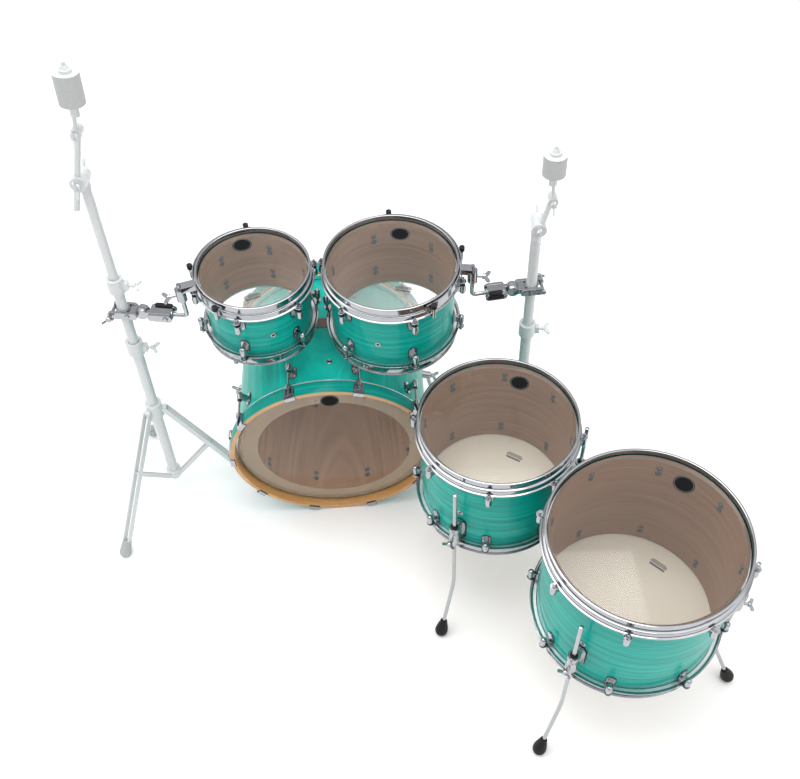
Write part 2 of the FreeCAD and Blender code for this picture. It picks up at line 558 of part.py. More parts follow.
def build_holder(side, base, lean, clamp_height, rod_at, bend_height, tube_out):
    """Clamp on the tube, ratcheting jaw and the bent rod that carries the tom."""
    tube = lean_frame(base, lean)
    origin = tube.multVec(V(0, 0, clamp_height))
    axis = tube.Rotation.multVec(V(0, 0, 1))
    bend = at(rod_at[0], rod_at[1], bend_height)
    clamp = axes_placement(origin, axis, bend - origin)
    corner = clamp.inverse().multVec(bend)
    pivot = V(RATCHET_REACH, 0, 0)
    along = (corner - pivot).normalize()
    grip = (corner - pivot).Length

    ring = cylinder(tube_out + 8, V(0, 0, -17), V(0, 0, 17))
    ear = fuse([block(-40, -12, -9, -1.5, -12, 12), block(-40, -12, 1.5, 9, -12, 12)])
    reach = fuse([block(10, 29.5, -9, 9, -11, 11), block(25, RATCHET_REACH, 0.4, 9, -11, 11)])
    disc = cylinder(15, V(RATCHET_REACH, 0.4, 0), V(RATCHET_REACH, 13, 0))
    body = fuse([ring, ear, reach, disc]).cut(cylinder(15.4, V(RATCHET_REACH, -14, 0), V(RATCHET_REACH, 0.4, 0)))
    body = body.cut(cylinder(tube_out + 0.05, V(0, 0, -20), V(0, 0, 20)))
    body = body.cut(cylinder(4.05, V(RATCHET_REACH, 0, 0), V(RATCHET_REACH, 9, 0)))
    bolt = placed(wing_bolt(26, 30, 4), axes_placement(V(-32, 9, 0), V(1, 0, 0), V(0, -1, 0)))
    add("holder_%s_clamp" % side, placed(fuse([body, bolt]), clamp))

    jaw_frame = clamp.multiply(axes_placement(pivot, V(0, 1, 0), along))
    turn_disc = cylinder(15, V(0, 0, -13), V(0, 0, 0))
    pin = cylinder(4.0, V(0, 0, 0), V(0, 0, 8))
    neck = block(8, 24, -10, 10, -13, 0)
    shaft = block(18, grip - 34, -12, 12, -11, 11)
    bore = cylinder(HOLDER_ROD_RADIUS + 0.05, V(17, 0, 0), V(grip, 0, 0))
    nut = placed(wing_bolt(8, 26, 4), axes_placement(V(grip - 48, 0, -11), V(1, 0, 0), V(0, 0, -1)))
    jaw = fuse([turn_disc, pin, neck, shaft, nut]).cut(bore)
    add("holder_%s_jaw" % side, placed(jaw, jaw_frame))

    start = jaw_frame.multVec(V(grip - 62, 0, 0))
    top = V(bend.x, bend.y, HOLDER_ROD_TOP)
    rod = fuse([cylinder(HOLDER_ROD_RADIUS, start, bend), Part.makeSphere(HOLDER_ROD_RADIUS, bend),
                cylinder(HOLDER_ROD_RADIUS, bend, top)])
    add("holder_%s_rod" % side, rod)


def build_mount(node, frame, radius, rod_at, posts, first, last):
    """Suspension band outside the hoop, three cushioned posts, and the clamp for the holder rod."""
    inner, outer = radius + 11.9, radius + 14.6
    span = last - first
    band = Part.makeCylinder(outer, 18, V(0, 0, -22), V(0, 0, 1), span)
    band = turned(band.cut(cylinder(inner, V(0, 0, -30), V(0, 0, 0))), first)
    pieces = [band]
    for angle in posts:
        x = radius + 21.5
        post = fuse([cylinder(4.5, V(x, 0, -41), V(x, 0, -12)), cylinder(6.8, V(x, 0, -12), V(x, 0, -1)),
                     block(radius + 13, x, -5, 5, -20, -7), block(radius + 8, x, -4.5, 4.5, -41, -38.05)])
        pieces.append(turned(post, angle))
    local = frame.inverse()
    low = V(rod_at[0] - PLAN_CENTRE[0], rod_at[1] - PLAN_CENTRE[1], HOLDER_MOUNT_Z - 17)
    high = low + V(0, 0, 34)
    clamp = placed(cylinder(12, low, high), local)
    centre = local.multVec((low + high) / 2)
    angle = math.degrees(math.atan2(centre.y, centre.x))
    distance = math.hypot(centre.x, centre.y)
    link = turned(block(radius + 12.5, distance, -11, 11, -21, -6), angle)
    bore = placed(cylinder(HOLDER_ROD_RADIUS + 0.05, low - V(0, 0, 30), high + V(0, 0, 30)), local)
    nut = placed(wing_bolt(14, 28, 4), FreeCAD.Placement(V(distance + 9, 0, centre.z), FreeCAD.Rotation()))
    pieces += [clamp, link, turned(nut, angle)]
    add(node, placed(fuse(pieces).cut(bore), frame))


# ---------------------------------------------------------------- build and export

tom10_frame = drum_frame(TOM10_TOP, TOM10_AXIS)
tom12_frame = drum_frame(TOM12_TOP, TOM12_AXIS)
tom_nodes = {"tom10": {}, "tom12": {}}
for prefix in tom_nodes:
    tom_nodes[prefix] = names_for(prefix, True, lugs=prefix + "_fittings", vent=prefix + "_fittings",
                                  rods=prefix + "_tension_rods")
build_tom(tom10_frame, TOM10_RADIUS, TOM10_DEPTH, SMALL_LUGS, TOM10_LUG_START, SMALL_LUG_DROP,
          tom_nodes["tom10"], (291.0, -108.0))
build_tom(tom12_frame, TOM12_RADIUS, TOM12_DEPTH, SMALL_LUGS, TOM12_LUG_START, SMALL_LUG_DROP,
          tom_nodes["tom12"], (257.0, -128.0))
for prefix, top, radius, depth, start, vent_at in (
        ("floor14", FLOOR14_TOP, FLOOR14_RADIUS, FLOOR14_DEPTH, FLOOR14_LUG_START, (239.0, -154.0)),
        ("floor16", FLOOR16_TOP, FLOOR16_RADIUS, FLOOR16_DEPTH, FLOOR16_LUG_START, (229.0, -184.0))):
    names = names_for(prefix, False, lugs="floor_tom_lugs", vent="shell_vents", rods="floor_tom_tension_rods")
    build_tom(drum_frame(top, UPRIGHT), radius, depth, LARGE_LUGS, start, LARGE_LUG_DROP, names, vent_at)
build_floor_legs("floor14", FLOOR14_TOP, FLOOR14_RADIUS, FLOOR14_LEG_ANGLES)
build_floor_legs("floor16", FLOOR16_TOP, FLOOR16_RADIUS, FLOOR16_LEG_ANGLES)
build_bass()
build_tripod(LEFT_BASE, LEFT_LEAN, LEFT_COLLARS[0], LEFT_LEG_ANGLES)
build_tripod(RIGHT_BASE, RIGHT_LEAN, RIGHT_COLLAR, RIGHT_LEG_ANGLES)
build_stand_tubes("left", LEFT_BASE, LEFT_LEAN, LEFT_COLLARS, LEFT_BOOM[0])
build_stand_tubes("right", RIGHT_BASE, RIGHT_LEAN, (RIGHT_COLLAR,), RIGHT_BOOM[0])
build_boom("left", LEFT_BASE, LEFT_LEAN, LEFT_BOOM)
build_boom("right", RIGHT_BASE, RIGHT_LEAN, RIGHT_BOOM)
build_holder("left", LEFT_BASE, LEFT_LEAN, LEFT_CLAMP, LEFT_ROD_AT, LEFT_ROD_BEND, MID_TUBE_OUT)
build_holder("right", RIGHT_BASE, RIGHT_LEAN, RIGHT_CLAMP, RIGHT_ROD_AT, RIGHT_ROD_BEND, MID_TUBE_OUT)
build_mount("tom10_mount", tom10_frame, TOM10_RADIUS, LEFT_ROD_AT, (102.0, 178.0, 240.0), 97.0, 245.0)
build_mount("tom12_mount", tom12_frame, TOM12_RADIUS, RIGHT_ROD_AT, (92.0, 14.0, 304.0), -61.0, 97.0)

os.makedirs("parts", exist_ok=True)
for node in sorted(NODES):
    Part.makeCompound(NODES[node]).exportStep("parts/%s.step" % node)
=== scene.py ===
import math

import bmesh
import bpy
from mathutils import Matrix, Vector


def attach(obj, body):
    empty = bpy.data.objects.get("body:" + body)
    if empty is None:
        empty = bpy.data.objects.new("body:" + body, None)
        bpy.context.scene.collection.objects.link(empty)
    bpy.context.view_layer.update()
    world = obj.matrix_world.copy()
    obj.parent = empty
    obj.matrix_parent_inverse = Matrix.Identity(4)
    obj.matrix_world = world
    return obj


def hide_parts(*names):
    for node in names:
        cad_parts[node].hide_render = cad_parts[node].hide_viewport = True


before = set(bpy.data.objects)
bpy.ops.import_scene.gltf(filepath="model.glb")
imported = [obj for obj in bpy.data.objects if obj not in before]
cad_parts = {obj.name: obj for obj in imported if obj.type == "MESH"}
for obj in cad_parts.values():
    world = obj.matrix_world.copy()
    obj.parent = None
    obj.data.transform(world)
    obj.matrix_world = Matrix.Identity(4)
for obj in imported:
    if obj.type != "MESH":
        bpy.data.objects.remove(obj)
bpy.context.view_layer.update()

# ---------------------------------------------------------------- dimensions, in metres

INCH = 0.0254
MM = 0.001
PLAN = Vector((-0.0547, 1.3001, 0.0))       # plan point that is the model's origin
ROD_OFFSET = 0.020                          # shell surface to tension rod, toms
SEG = 160                                   # facets round a drum

DRUMS = {
    "tom10": dict(r=5 * INCH, depth=0.203, top=(-0.395, 1.597, 0.786), axis=(0.040, -0.060, 0.997),
                  lugs=6, start=19, drop=0.061, wall=0.0065, body="tom10", vent=(291, -0.108)),
    "tom12": dict(r=6 * INCH, depth=0.230, top=(-0.069, 1.598, 0.792), axis=(0.015, -0.053, 0.998),
                  lugs=6, start=48, drop=0.061, wall=0.0065, body="tom12", vent=(257, -0.128)),
    "floor14": dict(r=7 * INCH, depth=0.294, top=(0.168, 1.269, 0.600), axis=(0, 0, 1),
                    lugs=8, start=35, drop=0.052, wall=0.0065, body="kit", vent=(239, -0.154)),
    "floor16": dict(r=8 * INCH, depth=0.343, top=(0.449, 0.946, 0.618), axis=(0, 0, 1),
                    lugs=8, start=26, drop=0.052, wall=0.0065, body="kit", vent=(229, -0.184)),
}

BASS_R = 10 * INCH
BASS_IN, BASS_OUT = 0.261, 0.273            # hoop radii
BASS_LENGTH = 0.452
BASS_HOOP_WIDTH = 0.038
BASS_WALL = 0.008
BASS_ROD_CIRCLE = 0.280
BASS_LUG_DROP = 0.092
BASS_CENTRE = (-0.244, 1.421)               # of the batter hoop, in plan
BASS_YAW, BASS_TILT = math.radians(3.1), math.radians(2.87)
BASS_ANGLES = [72 - 36 * i for i in range(10)]
BASS_VENT = (87, -0.112)

LEG_ANGLES = {"floor14": (239.2, 359.2, 110.2), "floor16": (228.8, 348.8, 108.8)}
LEG_OFFSET = 0.030                          # shell surface to leg rod
LEG_RADIUS = 0.00475
LEG_TOP = 0.5552
LEG_BEND_HEIGHT, LEG_BEND = 0.165, 0.028
LEG_FOOT = (0.095, 0.015)                   # beyond the shell, above the floor
BRACKET_PLATE_Z, BRACKET_Z, LEG_BOLT_Z = 0.382, 0.396, 0.384

STAND_TUBE = 0.0127                         # radius where the holder grips
CYMBAL_ROD_SIDE = 0.0399                    # stand axis to cymbal rod
RATCHET = 0.046                             # stand axis to ratchet pivot
HOLDER_ROD_R, HOLDER_ROD_TOP, HOLDER_ROD_TURN = 0.00525, 0.788, 0.011
STANDS = {
    "left": dict(base=(-0.7385, 1.5244), lean=(2.0, 2.5), clamp=0.697,
                 sleeve=((0.042, 1.254), (0.0465, 1.336)), rod=(-0.561, 1.539, 0.688)),
    "right": dict(base=(0.266, 1.590), lean=(0.0, 0.0), clamp=0.703,
                  sleeve=((0.017, 1.054), (0.0165, 1.121)), rod=(0.122, 1.576, 0.696)),
}


def axes(origin, z_axis, hint=(1, 0, 0)):
    """Matrix with local Z along z_axis and local X close to hint."""
    z = Vector(z_axis).normalized()
    x = Vector(hint)
    x = (x - z * x.dot(z)).normalized()
    y = z.cross(x)
    m = Matrix((x, y, z)).transposed().to_4x4()
    m.translation = Vector(origin)
    return m


def spin(degrees):
    return Matrix.Rotation(math.radians(degrees), 4, "Z")


def shift(x=0, y=0, z=0):
    return Matrix.Translation((x, y, z))


def plan(x, y, z=0.0):
    return Vector((x, y, z)) - PLAN


# ---------------------------------------------------------------- mesh building

class Shape:
    """Collects simple solids into one mesh, each under its own matrix and material index."""

    def __init__(self):
        self.bm = bmesh.new()
        self.at = Matrix()
        self.index = 0

    def emit(self, verts, faces):
        made = [self.bm.verts.new(self.at @ Vector(v)) for v in verts]
        for face in faces:
            corners = []
            for i in face:
                if made[i] not in corners:
                    corners.append(made[i])
            if len(corners) > 2:
                f = self.bm.faces.new(corners)
                f.material_index = self.index
                f.smooth = True

    def lathe(self, profile, seg=SEG):
        """Closed (radius, height) profile turned about Z."""
        verts, faces, grid = [], [], []
        axis_ids = {}
        k = len(profile)
        for i in range(seg):
            a = math.radians(360 * i / seg)
            row = []
            for j, (r, z) in enumerate(profile):
                if r < 1e-7:
                    if j not in axis_ids:
                        axis_ids[j] = len(verts)
                        verts.append((0, 0, z))
                    row.append(axis_ids[j])
                else:
                    row.append(len(verts))
                    verts.append((r * math.cos(a), r * math.sin(a), z))
            grid.append(row)
        for i in range(seg):
            a, b = grid[i], grid[(i + 1) % seg]
            for j in range(k):
                q = (j + 1) % k
                if profile[j][0] < 1e-7 and profile[q][0] < 1e-7:
                    continue
                faces.append((a[j], b[j], b[q], a[q]))
        self.emit(verts, faces)
        return self

    def box(self, x0, x1, y0, y1, z0, z1):
        v = [(x, y, z) for z in (z0, z1) for y in (y0, y1) for x in (x0, x1)]
        self.emit(v, [(0, 2, 3, 1), (4, 5, 7, 6), (0, 1, 5, 4), (2, 6, 7, 3), (0, 4, 6, 2),
                      (1, 3, 7, 5)])
        return self

    def slab(self, outline, z0, z1):
        """Outline of (x, y) points extruded along Z."""
        n = len(outline)
        v = [(x, y, z0) for x, y in outline] + [(x, y, z1) for x, y in outline]
        f = [tuple(reversed(range(n))), tuple(range(n, 2 * n))]
        f += [(i, (i + 1) % n, n + (i + 1) % n, n + i) for i in range(n)]
        self.emit(v, f)
        return self

    def rod(self, start, end, radius, seg=24):
        """Round bar between two points."""
        along = Vector(end) - Vector(start)
        length = along.length
        profile = [(0, 0), (radius, 0), (radius, length), (0, length)]
        return self.turned(start, along, profile, seg)

    def turned(self, start, along, profile, seg=32):
        """Lathe profile whose axis starts at a point and runs along a direction."""
        keep = self.at
        along = Vector(along)
        hint = (1, 0, 0) if abs(along.normalized().x) < 0.9 else (0, 1, 0)
        self.at = keep @ axes(start, along, hint)
        self.lathe(profile, seg)
        self.at = keep
        return self

    def sweep(self, path, radius, seg=20):
        """Round bar along a list of points, with flat ends."""
        pts = [Vector(p) for p in path]
        rings = []
        side = None
        for i, p in enumerate(pts):
            t = (pts[min(i + 1, len(pts) - 1)] - pts[max(i - 1, 0)]).normalized()
            if side is None:
                side = t.cross(Vector((0, 0, 1)) if abs(t.z) < 0.9 else Vector((1, 0, 0)))
            side = (side - t * side.dot(t)).normalized()
            up = t.cross(side)
            rings.append([p + (side * math.cos(a) + up * math.sin(a)) * radius
                          for a in (2 * math.pi * k / seg for k in range(seg))])
        verts = [v for ring in rings for v in ring]
        faces = [tuple(reversed(range(seg))), tuple(range(len(verts) - seg, len(verts)))]
        for i in range(len(pts) - 1):
            for k in range(seg):
                a, b = i * seg + k, i * seg + (k + 1) % seg
                faces.append((a, b, b + seg, a + seg))
        self.emit(verts, faces)
        return self


def add_bevel(obj, width, angle):
    mod = obj.modifiers.new("edge", "BEVEL")
    mod.width, mod.segments, mod.limit_method = width, 2, "ANGLE"
    mod.angle_limit = math.radians(angle)
    return mod


def piece(name, shape, materials, matrix, body, node=None, bevel=0.0):
    """Turns a Shape into an object that rides on a body."""
    bm = shape.bm
    bmesh.ops.remove_doubles(bm, verts=bm.verts, dist=1e-7)
    bmesh.ops.recalc_face_normals(bm, faces=bm.faces)
    mesh = bpy.data.meshes.new(name)
    bm.to_mesh(mesh)
    bm.free()
    for m in materials if isinstance(materials, (list, tuple)) else [materials]:
        mesh.materials.append(m)
    obj = bpy.data.objects.new(name, mesh)
    bpy.context.scene.collection.objects.link(obj)
    obj.matrix_world = matrix
    if bevel:
        add_bevel(obj, bevel, 40).harden_normals = True
    mesh.set_sharp_from_angle(angle=math.radians(40))
    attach(obj, body)
    if node:
        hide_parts(*([node] if isinstance(node, str) else node))
    return obj


# ---------------------------------------------------------------- materials

class Nodes:
    """Short hand for building a node material."""

    def __init__(self, name):
        self.mat = bpy.data.materials.new(name)
        self.mat.use_nodes = True
        self.tree = self.mat.node_tree
        self.bsdf = self.tree.nodes["Principled BSDF"]
        self.coords = self.add("ShaderNodeTexCoord")

    def add(self, kind, **settings):
        node = self.tree.nodes.new(kind)
        for key, value in settings.items():
            if key in node.inputs:
                node.inputs[key].default_value = value
            else:
                setattr(node, key, value)
        return node

    def link(self, a, b):
        self.tree.links.new(a, b)

    def set(self, **values):
        for key, value in values.items():
            self.bsdf.inputs[key.replace("_", " ")].default_value = value
        return self

    def mapped(self, across, along):
        """Object coordinates scaled across and along the local Z axis."""
        m = self.add("ShaderNodeMapping")
        m.inputs["Scale"].default_value = (across, across, along)
        self.link(self.coords.outputs["Object"], m.inputs["Vector"])
        return m.outputs["Vector"]

    def noise(self, scale, detail=4.0, rough=0.55, vector=None, distortion=0.0):
        n = self.add("ShaderNodeTexNoise")
        n.inputs["Scale"].default_value = scale
        n.inputs["Detail"].default_value = detail
        n.inputs["Roughness"].default_value = rough
        n.inputs["Distortion"].default_value = distortion
        self.link(vector if vector is not None else self.coords.outputs["Object"], n.inputs["Vector"])
        return n.outputs["Fac"]

    def ramp(self, factor, stops):
        r = self.add("ShaderNodeValToRGB")
        while len(r.color_ramp.elements) < len(stops):
            r.color_ramp.elements.new(0.5)
        for e, (pos, col) in zip(r.color_ramp.elements, stops):
            e.position = pos
            e.color = (*col, 1) if len(col) == 3 else col
        self.link(factor, r.inputs["Fac"])
        return r.outputs["Color"]

    def mix(self, factor, a, b, blend="MIX"):
        m = self.add("ShaderNodeMix", data_type="RGBA", blend_type=blend)
        for socket, value in ((m.inputs[0], factor), (m.inputs[6], a), (m.inputs[7], b)):
            if hasattr(value, "is_linked"):
                self.link(value, socket)
            else:
                socket.default_value = value if isinstance(value, float) else (*value, 1)
        return m.outputs[2]

    def span(self, value, low, high, to_low, to_high):
        m = self.add("ShaderNodeMapRange")
        self.link(value, m.inputs["Value"])
        ends = (("From Min", low), ("From Max", high), ("To Min", to_low), ("To Max", to_high))
        for key, number in ends:
            m.inputs[key].default_value = number
        return m.outputs["Result"]

    def colour(self, output):
        self.link(output, self.bsdf.inputs["Base Color"])
        return self

    def rough(self, output):
        self.link(output, self.bsdf.inputs["Roughness"])
        return self

    def bump(self, height, strength, distance):
        b = self.add("ShaderNodeBump")
        b.inputs["Strength"].default_value = strength
        b.inputs["Distance"].default_value = distance
        self.link(height, b.inputs["Height"])
        self.link(b.outputs["Normal"], self.bsdf.inputs["Normal"])
        return self


def srgb(text):
    """Linear colour from a hex string."""
    parts = [int(text[i:i + 2], 16) / 255 for i in (0, 2, 4)]
    return tuple(c / 12.92 if c <= 0.04045 else ((c + 0.055) / 1.055) ** 2.4 for c in parts)


def lacquer(name, tone=1.0):
    """Clear-coated figured veneer; the figure runs round the drum."""
    n = Nodes(name)
    broad = n.noise(1.0, 5.0, 0.55, n.mapped(4.0, 105.0), 0.5)
    fine = n.noise(1.6, 6.0, 0.6, n.mapped(4.0, 330.0), 0.3)
    wave = n.noise(1.3, 2.0, 0.5, n.mapped(4.0, 30.0), 1.0)
    # tone below 1 darkens the colours; the bass hoop's copy uses it for painted shade.
    low, middle, high = [tuple(c * tone for c in srgb(text)) for text in ("00948A", "00AA9C", "1FC0B1")]
    base = n.ramp(broad, [(0.30, low), (0.5, middle), (0.72, high)])
    streak = n.ramp(fine, [(0.35, (0.78, 0.84, 0.84)), (0.6, (1, 1, 1))])
    cloud = n.ramp(wave, [(0.35, (0.86, 0.9, 0.9)), (0.65, (1.06, 1.03, 1.03))])
    n.colour(n.mix(1.0, n.mix(1.0, base, streak, "MULTIPLY"), cloud, "MULTIPLY"))
    n.set(Roughness=0.45, Specular_IOR_Level=0.1, Coat_Weight=0.32, Coat_Roughness=0.02, Coat_IOR=1.4)
    n.bump(fine, 0.03, 0.0003)
    return n.mat


def veneer(name, dark, light, roughness=0.45):
    """Plain wood with grain round the drum."""
    n = Nodes(name)
    grain = n.noise(1.5, 6.0, 0.6, n.mapped(2.0, 55.0), 0.5)
    fibre = n.noise(2.0, 3.0, 0.5, n.mapped(2.0, 150.0))
    base = n.ramp(grain, [(0.32, dark), (0.68, light)])
    n.colour(n.mix(0.35, base, n.ramp(fibre, [(0.35, dark), (0.65, light)])))
    n.rough(n.span(grain, 0.3, 0.7, roughness - 0.06, roughness + 0.08))
    n.bump(fibre, 0.04, 0.0002)
    return n.mat


def plies(name):
    """Maple hoop edge with thin glue lines."""
    n = Nodes(name)
    grain = n.noise(1.0, 5.0, 0.6, n.mapped(14.0, 160.0), 0.4)
    base = n.ramp(grain, [(0.3, srgb("BC8650")), (0.7, srgb("D9A566"))])
    fibre = n.noise(320.0, 3.0, 0.6)
    n.colour(n.mix(0.25, base, n.ramp(fibre, [(0.35, srgb("8F6236")), (0.65, srgb("D9AE78"))])))
    n.set(Roughness=0.35, Coat_Weight=0.5, Coat_Roughness=0.15)
    n.bump(grain, 0.1, 0.0003)
    return n.mat


def metal(name, colour, roughness, wear=0.04, scale=60.0):
    n = Nodes(name)
    smudge = n.noise(scale, 4.0, 0.6)
    tone = tuple(c * 0.93 for c in colour)
    n.colour(n.ramp(smudge, [(0.35, tone), (0.65, colour)]))
    n.rough(n.span(smudge, 0.3, 0.7, roughness, roughness + wear))
    n.set(Metallic=1.0)
    n.bump(n.noise(scale * 6, 3.0), 0.02, 0.0002)
    return n.mat


def painted(name, colour, roughness, speckle=0.05, scale=150.0, strength=0.05, coat=0.0, shine=0.5):
    n = Nodes(name)
    grain = n.noise(scale, 4.0, 0.6)
    low = tuple(c * (1 - speckle) for c in colour)
    n.colour(n.ramp(grain, [(0.35, low), (0.65, colour)]))
    n.rough(n.span(grain, 0.3, 0.7, max(0.02, roughness - 0.04), roughness + 0.06))
    n.set(Coat_Weight=coat, Coat_Roughness=0.08, Specular_IOR_Level=shine)
    n.bump(grain, strength, 0.0003)
    return n.mat


def film(name, tint, facing, grazing, mirror=0.55):
    """Clear drum head: see-through when looked at squarely, more mirror-like at a slant."""
    n = Nodes(name)
    haze = n.noise(9.0, 3.0, 0.5)
    n.colour(n.ramp(haze, [(0.3, tuple(c * 0.94 for c in tint)), (0.7, tint)]))
    rim = n.add("ShaderNodeLayerWeight")
    rim.inputs["Blend"].default_value = 0.35
    n.link(n.span(rim.outputs["Facing"], 0.0, 1.0, facing, grazing), n.bsdf.inputs["Alpha"])
    n.rough(n.span(haze, 0.3, 0.7, 0.03, 0.06))
    n.set(Metallic=mirror)
    return n.mat


def coated(name, colour):
    """White sprayed head: fine even grain, faint cloudiness."""
    n = Nodes(name)
    cloud = n.noise(7.0, 4.0, 0.6)
    grit = n.noise(900.0, 2.0, 0.6)
    low = tuple(c * 0.95 for c in colour)
    stops = [(0.3, low), (0.7, colour)]
    n.colour(n.mix(0.5, n.ramp(cloud, stops), n.ramp(grit, stops)))
    n.rough(n.span(grit, 0.3, 0.7, 0.45, 0.6))
    n.bump(grit, 0.15, 0.0002)
    return n.mat


TEAL = lacquer("teal_lacquer")
# Darker copy of the shell lacquer for the bass hoops: painted shade, same teal as the shell.
TEAL_HOOP_PAINTED_SHADE = lacquer("teal_lacquer_painted_shade", 0.68)
INSIDE = veneer("shell_inside", srgb("87674F"), srgb("A88469"))
BASS_INSIDE = veneer("bass_shell_inside", srgb("AF8767"), srgb("D2A984"))
EDGE = veneer("bearing_edge", srgb("5E493A"), srgb("755C49"), roughness=0.4)
MAPLE = plies("maple_hoop_edge")
CHROME = metal("chrome_plate", (0.43, 0.44, 0.46), 0.05)
STEEL = metal("flesh_hoop_aluminium", (0.90, 0.91, 0.92), 0.30, 0.08)
# Black rubber for real parts; it also fills the shell vents as painted shade and widens the lug gaskets
# as painted shadow.
BLACK = painted("black_rubber_and_painted_shade", srgb("161617"), 0.55, 0.25, 260.0, 0.2, shine=0.3)
SCREW = painted("dark_screw", srgb("4B555C"), 0.4, 0.25, 300.0, 0.03)
CLEAR = film("clear_head_film", (0.93, 0.92, 0.90), 0.02, 0.12)
HAZY = film("hazy_head_film", (0.93, 0.94, 0.93), 0.20, 0.28, 0.0)
RING = film("damping_ring_film", srgb("C9BAA4"), 0.30, 0.38, 0.0)
COATED = coated("coated_head_film", srgb("DCD7C6"))
BADGE = painted("badge_black", srgb("0E0F10"), 0.65, 0.2, 300.0, 0.05, shine=0.1)
BADGE_RIM = painted("badge_rim", srgb("8D9296"), 0.3, 0.1, 300.0, 0.03, 0.3)
BROWN = painted("badge_brown", srgb("4A2E22"), 0.25, 0.3, 220.0, 0.06, 0.6)
LABEL = painted("head_label_grey", srgb("6C6B68"), 0.7, 0.1, 400.0, 0.02, shine=0.1)
PALE = painted("stand_pale_metal", srgb("D2D5D6"), 0.22, 0.05, 90.0, 0.02, 0.4)
PALE_SLEEVE = painted("stand_pale_sleeve", srgb("B9BCBB"), 0.6, 0.12, 320.0, 0.15)
PALE_RUBBER = painted("stand_pale_rubber", srgb("ABADAE"), 0.55, 0.08, 240.0, 0.12)


# ---------------------------------------------------------------- carried-over nodes

def dress(node, *materials, bevel=0.0):
    """Gives a CAD node its materials; the first covers it."""
    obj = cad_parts[node]
    obj.data.materials.clear()
    for m in materials:
        obj.data.materials.append(m)
    for p in obj.data.polygons:
        p.material_index = 0
    if bevel:
        add_bevel(obj, bevel, 50)


def paint(node, back, rules):
    """Sets material indices from tests on each polygon's centre and normal in a local frame."""
    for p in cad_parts[node].data.polygons:
        c, n = back @ p.center, back.to_3x3() @ p.normal
        for index, test in rules:
            if test(c, n):
                p.material_index = index


def dress_shell(node, matrix, radius, inside=INSIDE):
    """Lacquer outside, bare bearing edge, darker veneer inside."""
    dress(node, TEAL, EDGE, inside)
    paint(node, matrix.inverted(), (
        (1, lambda c, n: abs(n.z) > 0.25),
        (2, lambda c, n: math.hypot(c.x, c.y) < radius - 0.0021 and abs(n.z) < 0.25)))


# ---------------------------------------------------------------- drum pieces

# Outlines in millimetres: (distance from the shell or axis, height from the rim or middle).
HOOP = ((3.2, -1.2), (3.9, -0.3), (5.0, 0), (7.6, -0.05), (8.7, -0.5), (9.0, -1.3), (8.6, -2.1),
        (7.6, -2.5), (6.2, -2.7), (5.6, -3.4), (5.6, -20.6), (5.9, -21.8), (6.8, -22.6),
        (9.4, -22.8), (10.7, -23.4), (11.4, -24.6), (11.4, -34.4), (11.8, -35.2), (12.6, -35.6),
        (15.2, -35.6), (16.0, -36.2), (16.0, -37.4), (15.4, -38.0), (10.2, -38.0), (9.3, -37.6),
        (9.0, -36.8), (9.0, -25.6), (8.6, -25.0), (3.2, -25.0))
HEAD_SKIN = ((0, -12.7), (-0.6, -12.7), (0.5, -12.95), (0.9, -13.7), (0.9, -27.0), (0.6, -27.0),
             (0.6, -13.9), (0.3, -13.25), (-0.6, -13.0), (0, -13.0))
CRIMP_RING = ((1.0, -25.6), (1.6, -25.0), (7.8, -25.0), (8.5, -25.7), (8.5, -31.8), (7.8, -32.5),
              (1.0, -32.5))
BARREL = ((0, -15.0), (3.4, -14.5), (6.0, -12.6), (7.4, -9.6), (7.6, -7.0), (7.6, -1.0), (7.2, 5.0),
          (6.5, 10.0), (6.2, 11.6), (0, 11.6))
MOUTH = ((0, 11.0), (5.2, 11.0), (5.5, 11.6), (5.5, 14.4), (4.9, 15.0), (0, 15.0))
VENT_RIM = ((3.2, -1.0), (7.5, -1.0), (7.5, 1.4), (6.8, 2.2), (5.2, 2.6), (3.8, 2.2), (3.2, 1.2))
VENT_HOLE_SHADE = ((0, -1.0), (3.4, -1.0), (3.4, 0.6), (0, 0.6))
SCREW_HEAD = ((0, 0), (7.2, 0), (7.2, 1.0), (5.8, 1.2), (5.2, 3.0), (3.4, 4.0), (0, 4.3))
HOOP_EAR, EAR_HALF, EAR_BACK, EAR_SPAN = 8.5 * MM, 0.0105, -0.006, (-0.038, -0.0356)
MARK_SIZE = (0.0235, 0.0215)


def scaled(profile, offset=0.0):
    return [((offset if r else 0) + r * MM, z * MM) for r, z in profile]


def around(d):
    return [d["start"] + 360 / d["lugs"] * i for i in range(d["lugs"])]


def flipped(depth):
    """Places a batter-side part on the other end of the drum."""
    return shift(0, 0, -depth) @ Matrix.Rotation(math.pi, 4, "X")


def upright_x(x, z=0.0):
    """Local frame whose Z runs outwards along X, for outlines given across and along the drum."""
    return shift(x, 0, z) @ Matrix.Rotation(math.pi / 2, 4, "Y")


def make_hoops(key, d):
    for side, flip in (("upper", Matrix()), ("lower", flipped(d["depth"]))):
        s = Shape()
        s.at = flip
        s.lathe(scaled(HOOP, d["r"]))
        for a in around(d):
            s.at = flip @ spin(a if side == "upper" else -a) @ shift(d["r"] + ROD_OFFSET, 0, 0)
            arc = [(HOOP_EAR * math.cos(t), HOOP_EAR * math.sin(t))
                   for t in (math.radians(-90 + 180 * i / 14) for i in range(15))]
            s.slab([(EAR_BACK, -EAR_HALF), *arc, (EAR_BACK, EAR_HALF)], *EAR_SPAN)
        piece("%s_%s_hoop" % (key, side), s, CHROME, d["m"], d["body"], key + "_hoops",
              0.0005)


def make_head(name, d, flip, film):
    """Film pulled over the bearing edge, crimped in its metal ring."""
    s = Shape()
    s.at = flip
    s.lathe(scaled(HEAD_SKIN, d["r"]))
    s.index = 1
    s.lathe(scaled(CRIMP_RING, d["r"]))
    return piece(name, s, (film, STEEL), d["m"], d["body"])


def oval(a, b, steps=48):
    return [(a * math.cos(t), b * math.sin(t)) for t in (2 * math.pi * i / steps for i in range(steps))]


